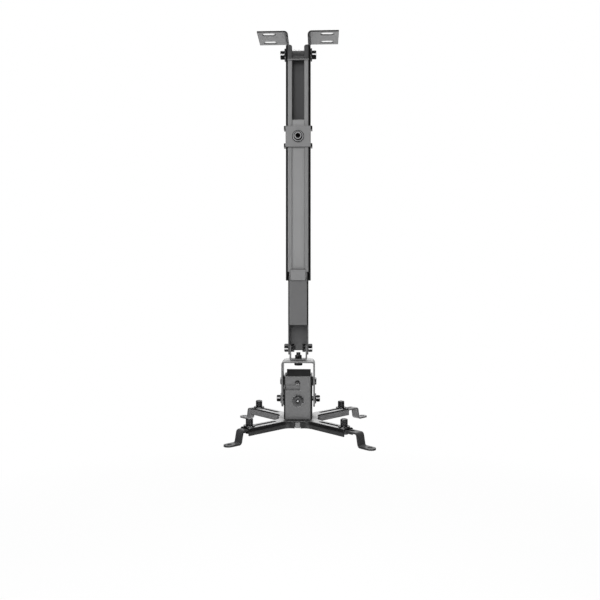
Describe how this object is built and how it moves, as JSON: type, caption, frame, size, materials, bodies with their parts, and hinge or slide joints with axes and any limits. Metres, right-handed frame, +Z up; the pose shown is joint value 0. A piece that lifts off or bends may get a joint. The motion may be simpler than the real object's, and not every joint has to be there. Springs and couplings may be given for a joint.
{
  "type": "projector ceiling mount",
  "caption": "Ceiling mount for a projector: slotted ceiling brackets, telescopic channel mast, tilt and swivel head and a spider of sliding legs with screw feet.",
  "frame": {"origin": "centre of the four ceiling slots, in the ceiling plane on the mast's axis", "axes": "+Z up into the ceiling, -Y towards the front with the clamp screw, +X to the right from the front"},
  "size_m": [0.1821, 0.1881, 0.513],
  "materials": {
    "mast_paint": "satin powder coat",
    "spider_paint": "satin powder coat",
    "black_steel": "black oxide",
    "moulded_plastic": "fine moulded grain",
    "nylon": "smooth"
  },
  "bodies": {
    "ceiling": {"ceiling_bracket_left": "mast_paint", "ceiling_bracket_right": "mast_paint", "ceiling_bolts": "black_steel", "ceiling_washers": "black_steel", "ceiling_spacer": "black_steel"},
    "mast": {"outer_channel": "mast_paint", "pivot_strip": "mast_paint", "guide_clip": "moulded_plastic"},
    "extension": {"inner_channel": "mast_paint", "clamp_plate": "mast_paint", "clamp_screw": "black_steel", "clamp_washer": "black_steel", "clamp_nut": "black_steel"},
    "fork": {"tilt_fork": "mast_paint", "fork_bolts": "black_steel", "fork_nuts": "black_steel", "swivel_bolt": "black_steel", "swivel_nut": "black_steel", "swivel_washer": "nylon"},
    "yoke": {"tilt_yoke": "mast_paint", "tilt_rivets": "black_steel", "tilt_spacers": "nylon"},
    "head": {"tilt_box": "mast_paint", "spider_bracket": "spider_paint", "release_pin": "black_steel", "lock_screws": "black_steel", "lock_washers": "black_steel", "lock_nuts": "black_steel", "release_screw": "black_steel", "release_washer": "black_steel", "release_nut": "black_steel", "spider_base": "spider_paint", "leg_screws": "black_steel", "leg_washers": "black_steel", "leg_nuts": "black_steel"},
    "front_left_leg": {"leg_front_left": "spider_paint"},
    "front_right_leg": {"leg_front_right": "spider_paint"},
    "rear_left_leg": {"leg_rear_left": "spider_paint"},
    "rear_right_leg": {"leg_rear_right": "spider_paint"}
  },
  "joints": [
    {"name": "ceiling_pivot", "type": "hinge", "parent": "ceiling", "child": "mast", "pos_m": [0, 0, -0.0234], "axis": [1, 0, 0], "range_deg": [-15, 15]},
    {"name": "mast_slide", "type": "slide", "parent": "mast", "child": "extension", "axis": [0, 0, -1], "range_m": [-0.076, 0.134]},
    {"name": "fork_pivot", "type": "hinge", "parent": "extension", "child": "fork", "pos_m": [0, 0, -0.4046], "axis": [1, 0, 0], "range_deg": [-15, 15]},
    {"name": "yoke_swivel", "type": "hinge", "parent": "fork", "child": "yoke", "pos_m": [0, 0, -0.4046], "axis": [0, 0, 1], "range_deg": [-180, 180]},
    {"name": "head_tilt", "type": "hinge", "parent": "yoke", "child": "head", "pos_m": [0, 0, -0.4478], "axis": [1, 0, 0], "range_deg": [-15, 15]},
    {"name": "front_left_leg_slide", "type": "slide", "parent": "head", "child": "front_left_leg", "axis": [-0.7071, -0.7071, 0], "range_m": [-0.003, 0.046]},
    {"name": "front_right_leg_slide", "type": "slide", "parent": "head", "child": "front_right_leg", "axis": [0.7071, -0.7071, 0], "range_m": [-0.014, 0.035]},
    {"name": "rear_left_leg_slide", "type": "slide", "parent": "head", "child": "rear_left_leg", "axis": [-0.7071, 0.7071, 0], "range_m": [-0.0055, 0.0435]},
    {"name": "rear_right_leg_slide", "type": "slide", "parent": "head", "child": "rear_right_leg", "axis": [0.7071, 0.7071, 0], "range_m": [-0.017, 0.032]}
  ]
}
